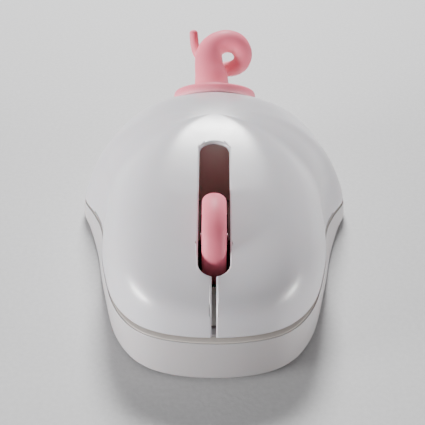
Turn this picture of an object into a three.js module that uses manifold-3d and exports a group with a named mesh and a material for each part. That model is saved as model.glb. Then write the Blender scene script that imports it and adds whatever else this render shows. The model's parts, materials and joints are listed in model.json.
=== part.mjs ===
// A small wireless computer mouse with a domed one-piece top, two flexing front keys, a scroll
// wheel in a long slot and a curled rubber tail. Millimetres, +Z up, keys towards -Y, tail
// towards +Y. The origin is on the desk, under the middle of the body.
import * as THREE from 'three';
import { mergeVertices } from 'three/addons/utils/BufferGeometryUtils.js';
import Module from 'manifold-3d';

const wasm = await Module();
wasm.setup();

// ---------------------------------------------------------------- driving dimensions
// Right half of the plan outline, front to rear. The left half mirrors it.
const OUTLINE = [
  [0, -49.2], [14.2, -46.2], [21.9, -36.5], [26.4, -19.5], [29.2, -6.7],
  [32.9, 7.4], [34.9, 17.8], [26.3, 39.7], [0, 49.2],
];
const OUTLINE_STEPS = 48;       // points around the outline
const DOME_RINGS = 10;          // rings from the seam to the crown
const CROWN_Z = 37.0;           // height of the crown above the desk
const CROWN_Y = 3.9;
const WALL = 1.4;               // cover wall
const BASE_WALL = 2.0;
const FRONT_LEDGE = 0.77;       // the base stands this far proud of the cover at the front
const SIDE_LEDGE = 0.15;        // and this far at the sides and the rear
const SEAM_REAR_Z = 3.2;        // cover's lower edge at the rear
const SEAM_RISE = 8.3;          // and how much higher it is at the front
const FRONT_GAP = 1.0;          // open joint between cover and base at the front
const SIDE_GAP = 0.45;          // and at the sides and the rear
const SEAM_LENGTH = 97;
const SEAM_REAR_Y = 48.4;
// Section of the dome from its seam to its crown, z = (1 - reach ^ power) ^ root.
const FRONT_SECTION = [4.2, 1 / 4.2];
const SIDE_SECTION = [2.15, 0.53];
const REAR_SECTION = [2.09, 0.68];
const RECESS_DEPTH = 3.4;       // thumb recess in each side, and its middle and reach
const RECESS_Y = 0.8;
const RECESS_Z = 11.8;
const RECESS_LENGTH = 11.8;
const RECESS_HEIGHT = 7.6;
const BOTTOM_Z = 0.6;           // underside of the base, on its feet
const FLOOR_Z = 2.4;            // inside of the base's floor
const EDGE_R = 0.8;             // rounding of the base's bottom edge
const LIP_HEIGHT = 1.4;         // locating lip above the seam
const LIP_DEPTH = 3.0;          // and below it
const LIP_T = 1.0;

const SLOT_HALF = 3.43;         // wheel slot
const SLOT_REAR_Y = -7.4;
const SLOT_FRONT_Y = -41.7;
const SLOT_FRONT_END = 2.7;     // depth of the slot's half-elliptic front end
const SLOT_REAR_END = 2.0;      // and of its flatter rear end
const REAR_END_POWERS = [1.9, 1.35];
const SLIT_HALF = 0.5;          // slit between the keys
const FLEX_Y = -10.5;           // line across which the keys bend
const FLEX_GAP = 0.3;

const WHEEL_Y = -28.5;
const WHEEL_Z = 23.05;
const WHEEL_R = 10.0;
const WHEEL_HALF = 2.65;
const HUB_R = 7.4;
const AXLE_R = 1.2;
const FIN_TOP_Z = 22.5;         // top of the fin that closes the slit between the keys

const KEY_BOARD_Z = 11.8;
const MAIN_BOARD_Z = 6.4;
const BOARD_T = 1.2;

const SWITCH_X = 14.6;
const SWITCH_Y = -27.5;
const SWITCH_SIZE = [5.8, 12.8, 6.5];
const PLUNGER_Y = -31;

const CELL_R = 5.25;            // two AAA cells across the rear half
const CELL_LENGTH = 44.5;
const CELL_Y = [14.0, 25.4];
const CELL_Z = 8.0;
const DOOR = { x: 25.5, front: 7.6, rear: 31.8, t: 1.5 };

const TAIL_Y = 34.0;
const TAIL_TILT = 38.7;         // degrees, square to the rear slope
const FLANGE_R = 11.0;
const FLANGE_T = 2.3;
const STEM_R = 2.3;

const CASE_SCREWS = [[-21.5, 1.8], [21.5, 1.8], [-14.5, 36.4], [14.5, 36.4]];
const BOSS_R = 3.2;
const KEY_POSTS = [[-18, -17.5], [18, -17.5], [-12.5, -39.5], [12.5, -39.5]];
const MAIN_POSTS = [[-11, 2], [11, 2]];
const TAB_X = 8.6;              // middle of the pressing tab, the spring and the middle switch
const CLEAR = 0.3;              // working clearance between neighbours

// ---------------------------------------------------------------- solids from geometries
function solid(geometry) {
  const bare = geometry.index ? geometry : geometry.clone();
  bare.deleteAttribute('normal');
  bare.deleteAttribute('uv');
  const merged = mergeVertices(bare, 1e-4);
  return new wasm.Manifold(new wasm.Mesh({
    numProp: 3,
    vertProperties: new Float32Array(merged.attributes.position.array),
    triVerts: new Uint32Array(merged.index.array),
  }));
}

function geometryOf(manifold) {
  const mesh = manifold.getMesh();
  const geometry = new THREE.BufferGeometry();
  geometry.setAttribute('position', new THREE.BufferAttribute(mesh.vertProperties.slice(), 3));
  geometry.setIndex(new THREE.BufferAttribute(mesh.triVerts.slice(), 1));
  return geometry;
}

// A closed body through rings of equal count, each counter-clockwise seen from its far end.
function loft(rings) {
  const count = rings[0].length;
  const positions = [];
  const index = [];
  for (const ring of rings) {
    for (const point of ring) positions.push(point.x, point.y, point.z);
  }
  for (let r = 0; r + 1 < rings.length; r += 1) {
    for (let i = 0; i < count; i += 1) {
      const a = r * count + i;
      const b = r * count + ((i + 1) % count);
      index.push(a, b, b + count, a, b + count, a + count);
    }
  }
  const capEnd = (ring, base, up) => {
    const centre = ring.reduce((sum, p) => sum.add(p), new THREE.Vector3()).divideScalar(count);
    const middle = positions.length / 3;
    positions.push(centre.x, centre.y, centre.z);
    for (let i = 0; i < count; i += 1) {
      const a = base + i;
      const b = base + ((i + 1) % count);
      index.push(middle, up ? a : b, up ? b : a);
    }
  };
  capEnd(rings[0], 0, false);
  capEnd(rings.at(-1), (rings.length - 1) * count, true);
  const geometry = new THREE.BufferGeometry();
  geometry.setAttribute('position', new THREE.Float32BufferAttribute(positions, 3));
  geometry.setIndex(index);
  return geometry;
}

function box(x0, x1, y0, y1, z0, z1) {
  const geometry = new THREE.BoxGeometry(x1 - x0, y1 - y0, z1 - z0);
  geometry.translate((x0 + x1) / 2, (y0 + y1) / 2, (z0 + z1) / 2);
  return solid(geometry);
}

function post(x, y, radius, z0, z1, sides = 12) {
  const geometry = new THREE.CylinderGeometry(radius, radius, z1 - z0, sides);
  geometry.rotateX(Math.PI / 2);
  geometry.translate(x, y, (z0 + z1) / 2);
  return solid(geometry);
}

function barAlongX(y, z, radius, x0, x1, sides = 20) {
  const geometry = new THREE.CylinderGeometry(radius, radius, x1 - x0, sides);
  geometry.rotateZ(Math.PI / 2);
  geometry.translate((x0 + x1) / 2, y, z);
  return solid(geometry);
}

// A flat plate of any plan shape.
function plate(shape, z0, z1, curveSegments = 3) {
  const geometry = new THREE.ExtrudeGeometry(shape, {
    depth: z1 - z0, bevelEnabled: false, curveSegments,
  });
  geometry.translate(0, 0, z0);
  return solid(geometry);
}

// A side-view (y, z) shape pushed through from x0 to x1.
function sideBlock(shape, x0, x1) {
  const geometry = new THREE.ExtrudeGeometry(shape, {
    depth: x1 - x0, bevelEnabled: false, curveSegments: 6,
  });
  const turn = new THREE.Matrix4().makeBasis(
    new THREE.Vector3(0, 1, 0), new THREE.Vector3(0, 0, 1), new THREE.Vector3(1, 0, 0));
  geometry.applyMatrix4(turn);
  geometry.translate(x0, 0, 0);
  return solid(geometry);
}

function roundedRectangle(x0, x1, y0, y1, radius) {
  const shape = new THREE.Shape();
  shape.moveTo(x0 + radius, y0);
  shape.lineTo(x1 - radius, y0);
  shape.absarc(x1 - radius, y0 + radius, radius, -Math.PI / 2, 0, false);
  shape.lineTo(x1, y1 - radius);
  shape.absarc(x1 - radius, y1 - radius, radius, 0, Math.PI / 2, false);
  shape.lineTo(x0 + radius, y1);
  shape.absarc(x0 + radius, y1 - radius, radius, Math.PI / 2, Math.PI, false);
  shape.lineTo(x0, y0 + radius);
  shape.absarc(x0 + radius, y0 + radius, radius, Math.PI, Math.PI * 1.5, false);
  return shape;
}

// ---------------------------------------------------------------- the body's surface
const smooth = THREE.MathUtils.smoothstep;

// Height of the seam between cover and base.
function seamZ(y) {
  return SEAM_REAR_Z + SEAM_RISE * Math.max((SEAM_REAR_Y - y) / SEAM_LENGTH, 0) ** 1.3;
}

function outlinePoints() {
  const right = OUTLINE.map(([x, y]) => new THREE.Vector3(x, y, 0));
  const left = right.slice(1, -1).reverse().map((p) => new THREE.Vector3(-p.x, p.y, 0));
  const curve = new THREE.CatmullRomCurve3([...right, ...left], true, 'catmullrom', 0.5);
  return Array.from({ length: OUTLINE_STEPS }, (unused, i) => {
    const at = i / OUTLINE_STEPS;
    const tangent = curve.getTangent(at);
    return { point: curve.getPoint(at), normal: new THREE.Vector3(tangent.y, -tangent.x, 0) };
  });
}
const AROUND = outlinePoints();

// Direction of a place from the crown in degrees, -90 at the front and 90 at the rear.
function direction(point) {
  return THREE.MathUtils.radToDeg(Math.atan2(point.y - CROWN_Y, Math.abs(point.x)));
}

// Front, side and rear values of a surface constant, blended by direction from the crown.
function byDirection(point, front, side, rear) {
  const angle = direction(point);
  if (angle < -15) return front + (side - front) * smooth(angle, -70, -15);
  return side + (rear - side) * smooth(angle, -15, 35);
}

// Thumb recesses: how far the sides are pushed in at a place on the body.
function thumbRecess(normal, y, z) {
  const along = Math.exp(-(((y - RECESS_Y) / RECESS_LENGTH) ** 2));
  const up = Math.exp(-(((z - RECESS_Z) / RECESS_HEIGHT) ** 2));
  return RECESS_DEPTH * along * up * smooth(Math.abs(normal.x), 0.5, 0.95);
}

function ceilingZ(y) {
  const ahead = Math.max(CROWN_Y - y, 0);
  return CROWN_Z - 0.33 * (Math.hypot(ahead, 12) - 12);
}

// A value that the body has across its front, fading round the front corners to another.
function acrossFront(point, front, elsewhere) {
  return front + (elsewhere - front) * smooth(direction(point), -75, -52);
}

// How far the base stands proud of the cover beside a place on the outline.
function ledge(point) {
  return acrossFront(point, FRONT_LEDGE, SIDE_LEDGE);
}

// A ring round the body, in from the base's outline or from the cover's.
function ringAtHeight(inset, heightAt, fromCover = false) {
  return AROUND.map(({ point, normal }) => {
    const z = heightAt(point);
    const push = inset + (fromCover ? ledge(point) : 0) + thumbRecess(normal, point.y, z);
    return new THREE.Vector3(point.x - normal.x * push, point.y - normal.y * push, z);
  });
}

// The dome, made smaller or larger by an inset. With a skirt it goes on straight down below
// the seam, which is what cuts a hollow or trims a neighbour.
function domeSolid(inset, skirt = true) {
  const rings = [ringAtHeight(inset, (p) => seamZ(p.y), true)];
  if (skirt) rings.unshift(ringAtHeight(inset, () => -2, true));
  for (let k = 1; k < DOME_RINGS; k += 1) {
    const turn = (Math.PI / 2) * (k / DOME_RINGS) ** 1.35;
    const reach = Math.cos(turn);
    rings.push(AROUND.map(({ point, normal }) => {
      const power = byDirection(point, FRONT_SECTION[0], SIDE_SECTION[0], REAR_SECTION[0]);
      const root = byDirection(point, FRONT_SECTION[1], SIDE_SECTION[1], REAR_SECTION[1]);
      const shrink = ledge(point) + inset;
      const edgeX = point.x - normal.x * shrink;
      const edgeY = point.y - normal.y * shrink;
      const low = seamZ(edgeY);
      const y = CROWN_Y + (edgeY - CROWN_Y) * reach;
      const z = low + (ceilingZ(y) - inset - low) * (1 - reach ** power) ** root;
      const push = thumbRecess(normal, y, z);
      return new THREE.Vector3(edgeX * reach - normal.x * push, y - normal.y * push, z);
    }));
  }
  return solid(loft(rings));
}

// The base as one tray: up its outside, over the rim, up and over the locating lip that
// stands inside the cover, and down its inside to the floor.
function baseTray() {
  const rim = (p) => seamZ(p.y) - acrossFront(p, FRONT_GAP, SIDE_GAP);
  const lipOut = WALL + CLEAR;
  const lipTop = (p) => seamZ(p.y) + LIP_HEIGHT;
  const belowLip = (p) => Math.max(seamZ(p.y) - LIP_DEPTH, FLOOR_Z + 0.3);
  const halfway = (p) => (BOTTOM_Z + EDGE_R + rim(p)) / 2;
  return solid(loft([
    ringAtHeight(EDGE_R, () => BOTTOM_Z),
    ringAtHeight(0, () => BOTTOM_Z + EDGE_R),
    ringAtHeight(0, halfway),
    ringAtHeight(0, rim),
    ringAtHeight(lipOut, rim, true),
    ringAtHeight(lipOut, lipTop, true),
    ringAtHeight(lipOut + LIP_T, lipTop, true),
    ringAtHeight(lipOut + LIP_T, belowLip, true),
    ringAtHeight(BASE_WALL, (p) => belowLip(p) - 0.2),
    ringAtHeight(BASE_WALL, () => FLOOR_Z),
  ]));
}

// ---------------------------------------------------------------- top cover and keys
function slotCutter() {
  const shape = new THREE.Shape();
  const rear = SLOT_REAR_Y - SLOT_REAR_END;
  const front = SLOT_FRONT_Y + SLOT_FRONT_END;
  const [acrossPower, alongPower] = REAR_END_POWERS;
  const steps = 20;
  shape.moveTo(SLOT_HALF, front);
  for (let i = 0; i <= steps; i += 1) {
    const turn = Math.PI * i / steps;
    const across = Math.sign(Math.cos(turn)) * Math.abs(Math.cos(turn)) ** (2 / acrossPower);
    const along = Math.abs(Math.sin(turn)) ** (2 / alongPower);
    shape.lineTo(SLOT_HALF * across, rear + SLOT_REAR_END * along);
  }
  shape.lineTo(-SLOT_HALF, front);
  shape.absellipse(0, front, SLOT_HALF, SLOT_FRONT_END, Math.PI, 2 * Math.PI, false);
  return plate(shape, 4, 45);
}

function coverShell() {
  const slit = box(-SLIT_HALF, SLIT_HALF, -60, SLOT_FRONT_Y + 1, 4, 45);
  return domeSolid(0, false).subtract(domeSolid(WALL))
    .subtract(slotCutter()).subtract(slit);
}
const SHELL = coverShell();

function topCover() {
  let cover = SHELL.intersect(box(-50, 50, FLEX_Y + FLEX_GAP / 2, 60, -5, 50));
  const inside = domeSolid(WALL / 2);
  for (const [x, y] of CASE_SCREWS) {
    const boss = post(x, y, BOSS_R - CLEAR, 6.3, 40).intersect(inside);
    cover = cover.add(boss).subtract(post(x, y, 1.4, 5, 12));
  }
  return cover.subtract(tailBody(STEM_R + CLEAR, -12, 12));
}

// One front key, side +1 the user's left or -1 the user's right, with the rib that presses
// its switch.
function key(side) {
  const [x0, x1] = side < 0 ? [-50, 0] : [0, 50];
  const finger = SHELL.intersect(box(x0, x1, -60, FLEX_Y - FLEX_GAP / 2, -5, 50));
  const middle = side * SWITCH_X;
  const tip = KEY_BOARD_Z + BOARD_T + SWITCH_SIZE[2] + 0.7;
  const rib = box(middle - 1.6, middle + 1.6, PLUNGER_Y - 1, PLUNGER_Y + 1, tip, 40);
  return finger.add(rib.intersect(domeSolid(WALL / 2)));
}

// ---------------------------------------------------------------- base
function screwBoss(x, y) {
  return post(x, y, BOSS_R, BOTTOM_Z + 0.4, 6.0);
}

function receiverPocket(grow) {
  return box(-9.6 - grow, 9.6 + grow, 33.0 - grow, 39.4 + grow, -1, 6.4 + grow);
}

function batteryTray() {
  const outer = box(-27, 27, DOOR.front - 1.2, DOOR.rear + 0.9, FLOOR_Z - 0.5, 12.5);
  const inner = box(-25.6, 25.6, DOOR.front + 0.2, DOOR.rear - 0.4, -1, 20);
  return outer.intersect(domeSolid(WALL + 0.5)).subtract(inner);
}

function baseShell() {
  let base = baseTray().add(batteryTray());
  base = base.add(receiverPocket(1.0).intersect(box(-20, 20, 30, 42, FLOOR_Z - 0.5, 8)));
  for (const [x, y] of CASE_SCREWS) {
    base = base.add(screwBoss(x, y)).subtract(post(x, y, 2.6, -1, 3.0));
    base = base.subtract(post(x, y, 1.5, 2, 8));
  }
  for (const [x, y] of KEY_POSTS) base = base.add(post(x, y, 2.2, 2, KEY_BOARD_Z, 12));
  for (const [x, y] of MAIN_POSTS) base = base.add(post(x, y, 2.0, 2, MAIN_BOARD_Z, 12));
  for (const [x, y] of KEY_POSTS) base = base.subtract(post(x, y, 1.1, 6, 20, 12));
  for (const [x, y] of MAIN_POSTS) base = base.subtract(post(x, y, 1.1, 3.4, 20, 12));
  base = base.subtract(receiverPocket(0));
  base = base.subtract(box(-DOOR.x, DOOR.x, DOOR.front, DOOR.rear, -1, 3));
  base = base.subtract(plate(roundedRectangle(-5, 5, -14, -2, 2.5), -1, 4));
  return base.subtract(plate(roundedRectangle(4.4, 12.6, -22, -18, 1.5), -1, 4));
}

function batteryDoor() {
  const edge = CLEAR;
  const panel = plate(roundedRectangle(-DOOR.x + edge, DOOR.x - edge,
    DOOR.front + edge, DOOR.rear - edge, 1.0), BOTTOM_Z, BOTTOM_Z + DOOR.t);
  const thumbGroove = [0, 1, 2].map((i) => box(-6, 6, 10 + i * 2, 10.8 + i * 2, 0, BOTTOM_Z + 0.4));
  return thumbGroove.reduce((door, groove) => door.subtract(groove), panel);
}

function foot(x, y) {
  return plate(roundedRectangle(x - 5, x + 5, y - 2.5, y + 2.5, 2.4), 0, BOTTOM_Z);
}

// ---------------------------------------------------------------- scroll wheel group
function wellShape(inset) {
  const shape = new THREE.Shape();
  const bottom = KEY_BOARD_Z + BOARD_T;
  shape.moveTo(-43 + inset, bottom + inset);
  shape.lineTo(-15, bottom + inset);
  shape.absarc(-15, bottom + 9, 9 - inset, -Math.PI / 2, 0, false);
  shape.lineTo(-6 - inset, 45);
  shape.lineTo(-43 + inset, 45);
  return shape;
}

function wheelWell() {
  const outer = sideBlock(wellShape(0), -5.4, 5.4);
  const inner = sideBlock(wellShape(1), -4.4, 4.4);
  const wheelHole = box(-4.4, 4.4, -40.5, -17, 10, 16);
  const axleWindow = box(-6, -4, WHEEL_Y - 2, WHEEL_Y + 2, 10, WHEEL_Z + 1.7);
  const tabWindow = box(4, 6, -36.2, -25.4, 10, 21);
  const frontNotch = box(-4.4, 4.4, -44, -41, FIN_TOP_Z, 45);
  const slitFin = box(-2.2, 2.2, -48, -42.5, KEY_BOARD_Z + BOARD_T + 0.2, FIN_TOP_Z);
  return outer.subtract(inner).subtract(wheelHole).subtract(axleWindow).subtract(tabWindow)
    .subtract(frontNotch).add(slitFin).intersect(domeSolid(WALL + 0.9));
}

function tyre() {
  const profile = new THREE.Shape();
  const crown = 1.9;
  profile.moveTo(HUB_R, -WHEEL_HALF);
  profile.lineTo(WHEEL_R - crown, -WHEEL_HALF);
  profile.absellipse(WHEEL_R - crown, 0, crown, WHEEL_HALF, -Math.PI / 2, Math.PI / 2, false);
  profile.lineTo(HUB_R, WHEEL_HALF);
  const points = profile.getPoints(4);
  const geometry = new THREE.LatheGeometry([...points, points[0].clone()], 32);
  geometry.rotateZ(-Math.PI / 2);
  geometry.translate(0, WHEEL_Y, WHEEL_Z);
  return solid(geometry);
}

function hub() {
  const rim = barAlongX(WHEEL_Y, WHEEL_Z, HUB_R, -2.4, 2.4, 32);
  const hollow = (x0, x1) => barAlongX(WHEEL_Y, WHEEL_Z, 6.2, x0, x1, 24)
    .subtract(barAlongX(WHEEL_Y, WHEEL_Z, 2.2, x0, x1));
  return rim.subtract(hollow(0.7, 3)).subtract(hollow(-3, -0.7))
    .add(barAlongX(WHEEL_Y, WHEEL_Z, AXLE_R, -11, 4.1, 6));
}

function wheelCarrier() {
  const arm = (side) => {
    const [x0, x1] = side < 0 ? [-4.0, -3.0] : [3.0, 4.0];
    return box(x0, x1, -32, -16, 19.8, 25);
  };
  const crossBar = box(-4, 4, -17.5, -16, 16.5, 21);
  const footTab = box(3.0, TAB_X + 2.5, -35.5, -26, 18.3, 19.9);
  return arm(-1).add(arm(1)).add(crossBar).add(footTab)
    .subtract(barAlongX(WHEEL_Y, WHEEL_Z, AXLE_R + 0.2, -6, 6, 12));
}

function encoderBody() {
  const bottom = KEY_BOARD_Z + BOARD_T;
  return box(-11.7, -6.0, WHEEL_Y - 3, WHEEL_Y + 3, bottom, WHEEL_Z)
    .add(barAlongX(WHEEL_Y, WHEEL_Z, 3.0, -11.7, -6.0))
    .subtract(barAlongX(WHEEL_Y, WHEEL_Z, 2.35, -11.2, -5, 16));
}

function encoderRotor() {
  return barAlongX(WHEEL_Y, WHEEL_Z, 1.75, -10.2, -6.4, 16)
    .subtract(barAlongX(WHEEL_Y, WHEEL_Z, AXLE_R + 0.15, -12, -5, 6));
}

// Round wire wound into a coil on the z axis at the origin.
class Coil extends THREE.Curve {
  constructor(radius, turns, height) {
    super();
    Object.assign(this, { radius, turns, height });
  }

  getPoint(t, target = new THREE.Vector3()) {
    const angle = 2 * Math.PI * this.turns * t;
    return target.set(this.radius * Math.cos(angle), this.radius * Math.sin(angle), this.height * t);
  }
}

function coilSpring(radius, turns, height, wire) {
  const section = new THREE.Shape();
  section.absarc(0, 0, wire, 0, 2 * Math.PI, false);
  return new THREE.ExtrudeGeometry(section, {
    steps: Math.round(turns * 8),
    extrudePath: new Coil(radius, turns, height),
    curveSegments: 3,
    bevelEnabled: false,
  });
}

// ---------------------------------------------------------------- boards and components
function keyBoard() {
  const outline = solid(loft([-4, 20].map((z) => ringAtHeight(5.4, () => z))));
  let board = box(-30, 30, -43, -12.5, KEY_BOARD_Z, KEY_BOARD_Z + BOARD_T).intersect(outline);
  board = board.subtract(box(-3.4, 3.4, -39.4, -17.4, 0, 20));
  for (const [x, y] of KEY_POSTS) board = board.subtract(post(x, y, 1.3, 0, 20, 12));
  return board;
}

function mainBoard() {
  let board = plate(roundedRectangle(-14, 14, -29, 5, 1), MAIN_BOARD_Z, MAIN_BOARD_Z + BOARD_T);
  for (const [x, y] of MAIN_POSTS) board = board.subtract(post(x, y, 1.3, 0, 20, 12));
  return board.subtract(plate(roundedRectangle(-3.5, 3.5, -12, -5, 1), 0, 20));
}

function microswitchBody(side) {
  const [w, l, h] = SWITCH_SIZE;
  const z = KEY_BOARD_Z + BOARD_T;
  const x = side * SWITCH_X;
  const pocket = box(x - 0.9, x + 0.9, PLUNGER_Y - 1.6, PLUNGER_Y + 1.6, z + h - 2, z + h + 1);
  return box(x - w / 2, x + w / 2, SWITCH_Y - l / 2, SWITCH_Y + l / 2, z, z + h).subtract(pocket);
}

function microswitchPlunger(side) {
  const top = KEY_BOARD_Z + BOARD_T + SWITCH_SIZE[2] + 0.6;
  const x = side * SWITCH_X;
  return box(x - 0.6, x + 0.6, PLUNGER_Y - 1.3, PLUNGER_Y + 1.3, top - 1.8, top);
}

function screw(x, y, headRadius, headLow, headHigh, shankRadius, tipZ) {
  const shank = post(x, y, shankRadius, Math.min(tipZ, headLow), Math.max(tipZ, headHigh), 8);
  const up = tipZ > headLow;
  const cross = up ? [headLow - 1, headLow + 0.6] : [headHigh - 0.6, headHigh + 1];
  return post(x, y, headRadius, headLow, headHigh).add(shank)
    .subtract(box(x - 1.2, x + 1.2, y - 0.25, y + 0.25, ...cross))
    .subtract(box(x - 0.25, x + 0.25, y - 1.2, y + 1.2, ...cross));
}

// ---------------------------------------------------------------- cells and contacts
function cell(y, direction) {
  const nose = 1.0;
  const half = CELL_LENGTH / 2;
  const can = barAlongX(y, CELL_Z, CELL_R, -half + (direction < 0 ? nose : 0),
    half - (direction > 0 ? nose : 0), 24);
  const tip = direction > 0 ? [half - nose - 0.5, half] : [-half, -half + nose + 0.5];
  return can.add(barAlongX(y, CELL_Z, 1.9, ...tip, 16));
}

function contactPlate(y, side) {
  const x = side * 25.1;
  return box(Math.min(x, x - side * 0.4), Math.max(x, x - side * 0.4), y - 4, y + 4, 3.6, 11.6);
}

// ---------------------------------------------------------------- tail
// Centre line of the curl, square to the flange: across, up, behind, and wire radius.
const CURL = [
  [-0.8, 1.6, 0, 4.6], [-0.9, 5, 0, 4.5], [-1.5, 8.4, 0, 3.95], [-1.6, 11.2, 0, 3.7],
  [-0.75, 13.5, 0, 3.35], [1.3, 15.05, 0.1, 3.15], [3.7, 15.5, 0.2, 3.05], [6.2, 14.7, 0.6, 2.9],
  [7.65, 12.4, 1.4, 2.6], [7.2, 10.1, 2.4, 2.35], [5.5, 9.05, 3.8, 2.2], [3, 8.95, 5.1, 2.05],
  [0.4, 9.5, 5.8, 1.75], [-2.3, 10.8, 5.8, 1.5], [-4.5, 12.9, 4.9, 1.33], [-5.5, 15.3, 4.2, 1.22],
  [-5.9, 18.7, 3.7, 1.15],
];

function domeHeight(y) {
  const rearEdge = OUTLINE[OUTLINE.length - 1][1] - SIDE_LEDGE;
  const reach = (y - CROWN_Y) / (rearEdge - CROWN_Y);
  const low = seamZ(rearEdge);
  return low + (CROWN_Z - low) * (1 - reach ** REAR_SECTION[0]) ** REAR_SECTION[1];
}

// Turns something built on the z axis into place, square to the rear slope.
function ontoSlope(geometry) {
  geometry.rotateX(-THREE.MathUtils.degToRad(TAIL_TILT));
  geometry.translate(0, TAIL_Y, domeHeight(TAIL_Y));
  return geometry;
}

function tailBody(radius, low, high, sides = 24) {
  const geometry = new THREE.CylinderGeometry(radius, radius, high - low, sides);
  geometry.rotateX(Math.PI / 2);
  geometry.translate(0, 0, (low + high) / 2);
  return solid(ontoSlope(geometry));
}

function curl() {
  const centres = CURL.map(([x, up, behind]) => new THREE.Vector3(x, behind, up));
  const curve = new THREE.CatmullRomCurve3(centres, false, 'catmullrom', 0.5);
  const steps = (CURL.length - 1) * 2;
  const frames = curve.computeFrenetFrames(steps, false);
  const sides = 10;
  const rings = [];
  for (let s = 0; s <= steps; s += 1) {
    const at = s / steps;
    const centre = curve.getPointAt(at);
    const place = curve.getUtoTmapping(at) * (CURL.length - 1);
    const k = Math.min(Math.floor(place), CURL.length - 2);
    const radius = CURL[k][3] + (CURL[k + 1][3] - CURL[k][3]) * (place - k);
    rings.push(Array.from({ length: sides }, (unused, i) => {
      const angle = (2 * Math.PI * i) / sides;
      return centre.clone()
        .addScaledVector(frames.normals[s], radius * Math.cos(angle))
        .addScaledVector(frames.binormals[s], radius * Math.sin(angle));
    }));
  }
  return solid(ontoSlope(loft(rings)));
}

function tail() {
  const flange = tailBody(FLANGE_R, -8, 8, 28)
    .intersect(domeSolid(-FLANGE_T - CLEAR)).subtract(domeSolid(-CLEAR));
  const core = tailBody(4.2, 0.7, 2.4, 16);
  return flange.add(core).add(curl()).add(tailBody(STEM_R, -5.5, 1.5));
}

function tailRetainer() {
  return tailBody(5, -4.4, -3.2).subtract(tailBody(STEM_R + 0.25, -8, 0));
}

// ---------------------------------------------------------------- assembly
const FINISHES = {
  pearl: [0xe6e2e6, 0.25, 0.0],
  base: [0xe4e0e2, 0.3, 0.0],
  innerWhite: [0xd9cfca, 0.5, 0.0],
  pinkRubber: [0xdf93a0, 0.55, 0.0],
  pinkPlastic: [0xd88494, 0.4, 0.0],
  board: [0x1f6b3a, 0.45, 0.0],
  black: [0x1b1b1d, 0.5, 0.0],
  steel: [0xb9bcc2, 0.3, 1.0],
  clear: [0xe8f0f4, 0.1, 0.0],
  red: [0xc23030, 0.3, 0.0],
  slip: [0xd8d8da, 0.6, 0.0],
  cellWrap: [0x3c5f93, 0.35, 0.2],
};

const assembly = new THREE.Group();

function put(name, finish, shape, parent = assembly) {
  const geometry = shape.isBufferGeometry ? shape : geometryOf(shape);
  const [color, roughness, metalness] = FINISHES[finish];
  const material = new THREE.MeshStandardMaterial({ color, roughness, metalness });
  const mesh = new THREE.Mesh(geometry, material);
  mesh.name = name;
  parent.add(mesh);
  return mesh;
}

const SIDES = [['left', 1], ['right', -1]];

put('top_cover', 'pearl', topCover());
put('base_shell', 'base', baseShell());
put('battery_door', 'base', batteryDoor());
put('wheel_well', 'innerWhite', wheelWell());
for (const [name, side] of SIDES) {
  put(`${name}_button`, 'pearl', key(side));
  put(`${name}_switch_body`, 'black', microswitchBody(side));
  put(`${name}_switch_plunger`, 'red', microswitchPlunger(side));
}

put('scroll_tyre', 'pinkRubber', tyre());
put('scroll_hub', 'pinkPlastic', hub());
put('wheel_carrier', 'innerWhite', wheelCarrier());
put('encoder_body', 'black', encoderBody());
put('encoder_rotor', 'slip', encoderRotor());
const wheelSpring = put('wheel_spring', 'steel', coilSpring(1.5, 4, 4.6, 0.25));
wheelSpring.position.set(TAB_X, -33.3, KEY_BOARD_Z + BOARD_T + 0.3);

const middleTop = KEY_BOARD_Z + BOARD_T + 4.2;
put('middle_switch_body', 'black', box(TAB_X - 2.6, TAB_X + 2.6, -31, -26, KEY_BOARD_Z + BOARD_T, middleTop)
  .subtract(post(TAB_X, WHEEL_Y, 1.9, middleTop - 2, middleTop + 1)));
put('middle_switch_plunger', 'red', post(TAB_X, WHEEL_Y, 1.6, middleTop - 1.3, middleTop + 1.0));

put('key_board', 'board', keyBoard());
put('main_board', 'board', mainBoard());
put('board_header', 'black', box(-12, -4, -27.5, -25, MAIN_BOARD_Z + BOARD_T, KEY_BOARD_Z));
put('controller_chip', 'black', box(3, 10, -25, -18, MAIN_BOARD_Z + BOARD_T, 9.1));
put('crystal', 'steel', box(6.5, 10.5, -15.5, -13.5, MAIN_BOARD_Z + BOARD_T, 9.0));
put('capacitor', 'black', post(-8, -14, 2.5, MAIN_BOARD_Z + BOARD_T, 11.4));
put('sensor_chip', 'black', box(-4.6, 4.6, -14.5, -3, MAIN_BOARD_Z + BOARD_T, 10.2));
put('sensor_led', 'red', box(-1.6, 1.6, 0.4, 4.4, 2.6, MAIN_BOARD_Z));
put('sensor_lens', 'clear', box(-6, 6, -15, -0.4, FLOOR_Z, 4.2)
  .add(post(0, -8, 2.8, FLOOR_Z - 0.8, 6.0)));
put('power_switch_body', 'black', box(3.6, 13.4, -22.6, -17.4, 3.4, MAIN_BOARD_Z)
  .subtract(box(4.4, 12.6, -21.3, -18.7, 3, 5.2)));
put('power_knob', 'black', box(5.0, 8.6, -21.0, -19.0, 1.0, 4.6));

KEY_POSTS.forEach(([x, y], i) => {
  const top = KEY_BOARD_Z + BOARD_T;
  put(`board_screw_${i + 1}`, 'steel', screw(x, y, 2.0, top, top + 1.2, 0.9, 7.5));
});
MAIN_POSTS.forEach(([x, y], i) => {
  const top = MAIN_BOARD_Z + BOARD_T;
  put(`board_screw_${i + 5}`, 'steel', screw(x, y, 2.0, top, top + 1.2, 0.9, 4));
});
CASE_SCREWS.forEach(([x, y], i) => {
  put(`case_screw_${i + 1}`, 'steel', screw(x, y, 2.2, 1.5, 2.9, 1.2, 10.5));
});

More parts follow.
